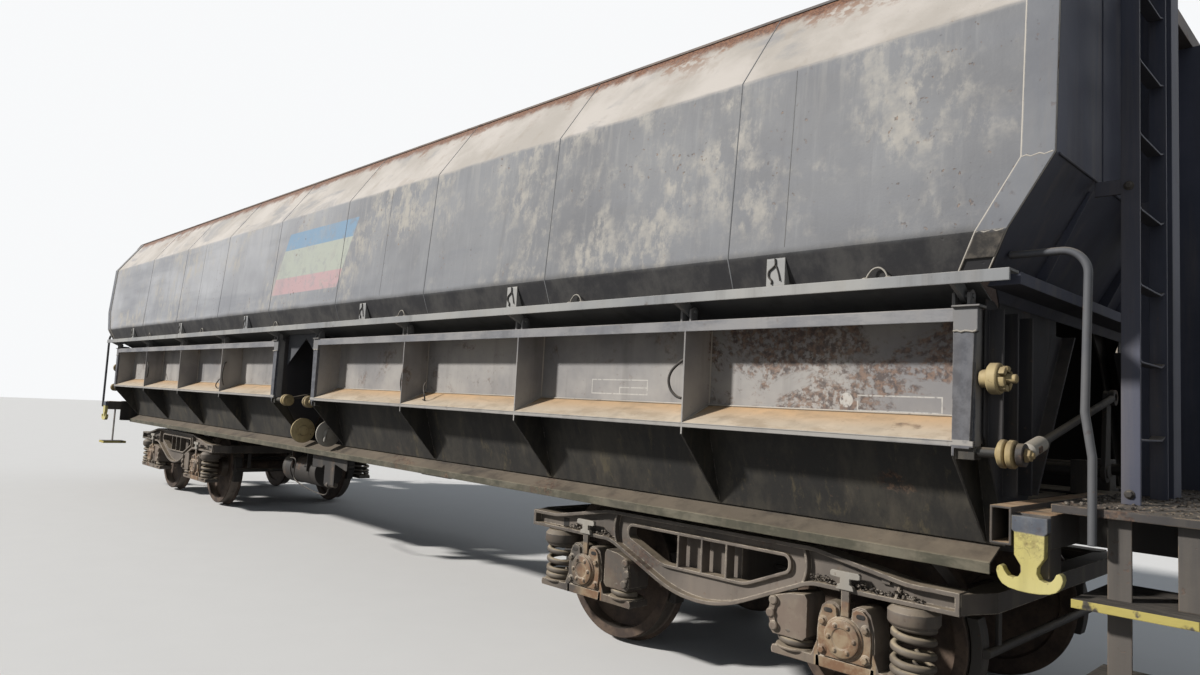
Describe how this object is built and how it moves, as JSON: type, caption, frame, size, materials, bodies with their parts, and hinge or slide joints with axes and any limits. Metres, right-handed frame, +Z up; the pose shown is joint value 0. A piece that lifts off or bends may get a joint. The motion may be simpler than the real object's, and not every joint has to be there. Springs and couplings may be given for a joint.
{
  "type": "open hopper wagon",
  "caption": "Open bogie hopper wagon with a roof-shaped floor, side discharge doors hinged at the waist, two-axle bogies, an end platform with a ladder, and side buffers",
  "frame": {"origin": "bottom centre of the bounding box, level with the lowest point of the wheel flanges", "axes": "+X toward the platform end along the wagon, +Y across, +Z up"},
  "size_m": [14.54, 3.1242, 3.7279],
  "materials": {
    "shell": "faded matt paint",
    "end": "dark matt paint",
    "pale": "dusty paint",
    "door": "worn paint",
    "frame": "grimy paint",
    "inside": "worn rusty steel",
    "cast": "dusty cast steel",
    "wheel": "worn steel",
    "wood": "weathered",
    "hook": "worn yellow paint"
  },
  "bodies": {
    "wagon": {"air_tanks": "frame", "brake_column": "frame", "buffer_casings": "cast", "buffer_heads": "cast", "centre_brackets": "frame", "centre_sill": "frame", "chute_plates": "frame", "chute_sills": "frame", "corner_straps": "pale", "cross_bearers": "frame", "door_hinges": "pale", "draw_gear": "cast", "end_beams": "end", "end_posts": "end", "end_wall_front": "end", "end_wall_rear": "end", "handrails": "pale", "headstocks": "frame", "hook_beams": "end", "ladder": "end", "middle_ridge": "inside", "platform_floor": "frame", "platform_rail": "hook", "saddle": "inside", "saddle_frames": "frame", "shaft_bearings": "cast", "side_wall_far": "shell", "side_wall_near": "shell", "step_boards": "wood", "step_hangers": "frame", "top_rails": "end", "tow_hooks": "hook", "waist_rails": "pale", "wall_gussets": "pale"},
    "door_far_front": {"door_far_front": "door"},
    "door_near_front": {"door_near_front": "door"},
    "door_far_rear": {"door_far_rear": "door"},
    "door_near_rear": {"door_near_rear": "door"},
    "links_far_front": {"links_far_front": "frame"},
    "links_near_front": {"links_near_front": "frame"},
    "links_far_rear": {"links_far_rear": "frame"},
    "links_near_rear": {"links_near_rear": "frame"},
    "crank_far": {"crank_shaft_far": "frame"},
    "crank_near": {"crank_shaft_near": "frame"},
    "hand_wheel": {"hand_wheel": "hook"},
    "bogie_front": {"bogie_sides_front": "cast", "bogie_transom_front": "cast", "axle_gear_front": "cast", "brake_gear_front": "cast"},
    "wheelset_front_outer": {"wheelset_front_outer": "wheel"},
    "wheelset_front_inner": {"wheelset_front_inner": "wheel"},
    "bogie_rear": {"bogie_sides_rear": "cast", "bogie_transom_rear": "cast", "axle_gear_rear": "cast", "brake_gear_rear": "cast"},
    "wheelset_rear_outer": {"wheelset_rear_outer": "wheel"},
    "wheelset_rear_inner": {"wheelset_rear_inner": "wheel"}
  },
  "joints": [
    {"name": "door_near_front_hinge", "type": "hinge", "parent": "wagon", "child": "door_near_front", "pos_m": [-0.31, -1.42, 2.038], "axis": [-1, 0, 0], "range_deg": [0, 35]},
    {"name": "links_near_front_pin", "type": "hinge", "parent": "door_near_front", "child": "links_near_front", "pos_m": [-0.31, -1.405, 1.418], "axis": [1, 0, 0], "range_deg": [0, 22.2]},
    {"name": "door_near_rear_hinge", "type": "hinge", "parent": "wagon", "child": "door_near_rear", "pos_m": [-0.31, -1.42, 2.038], "axis": [-1, 0, 0], "range_deg": [0, 35]},
    {"name": "links_near_rear_pin", "type": "hinge", "parent": "door_near_rear", "child": "links_near_rear", "pos_m": [-0.31, -1.405, 1.418], "axis": [1, 0, 0], "range_deg": [0, 22.2]},
    {"name": "crank_near_turn", "type": "hinge", "parent": "wagon", "child": "crank_near", "pos_m": [-0.31, -0.2, 1.328], "axis": [1, 0, 0], "range_deg": [0, 62.3]},
    {"name": "door_far_front_hinge", "type": "hinge", "parent": "wagon", "child": "door_far_front", "pos_m": [-0.31, 1.42, 2.038], "axis": [1, 0, 0], "range_deg": [0, 35]},
    {"name": "links_far_front_pin", "type": "hinge", "parent": "door_far_front", "child": "links_far_front", "pos_m": [-0.31, 1.405, 1.418], "axis": [-1, 0, 0], "range_deg": [0, 22.2]},
    {"name": "door_far_rear_hinge", "type": "hinge", "parent": "wagon", "child": "door_far_rear", "pos_m": [-0.31, 1.42, 2.038], "axis": [1, 0, 0], "range_deg": [0, 35]},
    {"name": "links_far_rear_pin", "type": "hinge", "parent": "door_far_rear", "child": "links_far_rear", "pos_m": [-0.31, 1.405, 1.418], "axis": [-1, 0, 0], "range_deg": [0, 22.2]},
    {"name": "crank_far_turn", "type": "hinge", "parent": "wagon", "child": "crank_far", "pos_m": [-0.31, 0.2, 1.328], "axis": [-1, 0, 0], "range_deg": [0, 62.3]},
    {"name": "bogie_front_pivot", "type": "hinge", "parent": "wagon", "child": "bogie_front", "pos_m": [4.29, 0, 0.908], "axis": [0, 0, 1], "range_deg": [-4, 4]},
    {"name": "wheelset_front_outer_spin", "type": "hinge", "parent": "bogie_front", "child": "wheelset_front_outer", "pos_m": [5.19, 0, 0.488], "axis": [0, 1, 0], "continuous": true},
    {"name": "wheelset_front_inner_spin", "type": "hinge", "parent": "bogie_front", "child": "wheelset_front_inner", "pos_m": [3.39, 0, 0.488], "axis": [0, 1, 0], "continuous": true},
    {"name": "bogie_rear_pivot", "type": "hinge", "parent": "wagon", "child": "bogie_rear", "pos_m": [-4.71, 0, 0.908], "axis": [0, 0, 1], "range_deg": [-4, 4]},
    {"name": "wheelset_rear_outer_spin", "type": "hinge", "parent": "bogie_rear", "child": "wheelset_rear_outer", "pos_m": [-5.61, 0, 0.488], "axis": [0, 1, 0], "continuous": true},
    {"name": "wheelset_rear_inner_spin", "type": "hinge", "parent": "bogie_rear", "child": "wheelset_rear_inner", "pos_m": [-3.81, 0, 0.488], "axis": [0, 1, 0], "continuous": true},
    {"name": "hand_wheel_turn", "type": "hinge", "parent": "wagon", "child": "hand_wheel", "pos_m": [6.52, 0.33, 2.078], "axis": [1, 0, 0], "continuous": true}
  ],
  "couplings": [
    {"joint": "links_near_front_pin", "follows": "door_near_front_hinge", "ratio": 0.63429},
    {"joint": "door_near_rear_hinge", "follows": "door_near_front_hinge", "ratio": 1},
    {"joint": "links_near_rear_pin", "follows": "door_near_front_hinge", "ratio": 0.63429},
    {"joint": "crank_near_turn", "follows": "door_near_front_hinge", "ratio": 1.78},
    {"joint": "links_far_front_pin", "follows": "door_far_front_hinge", "ratio": 0.63429},
    {"joint": "door_far_rear_hinge", "follows": "door_far_front_hinge", "ratio": 1},
    {"joint": "links_far_rear_pin", "follows": "door_far_front_hinge", "ratio": 0.63429},
    {"joint": "crank_far_turn", "follows": "door_far_front_hinge", "ratio": 1.78}
  ]
}
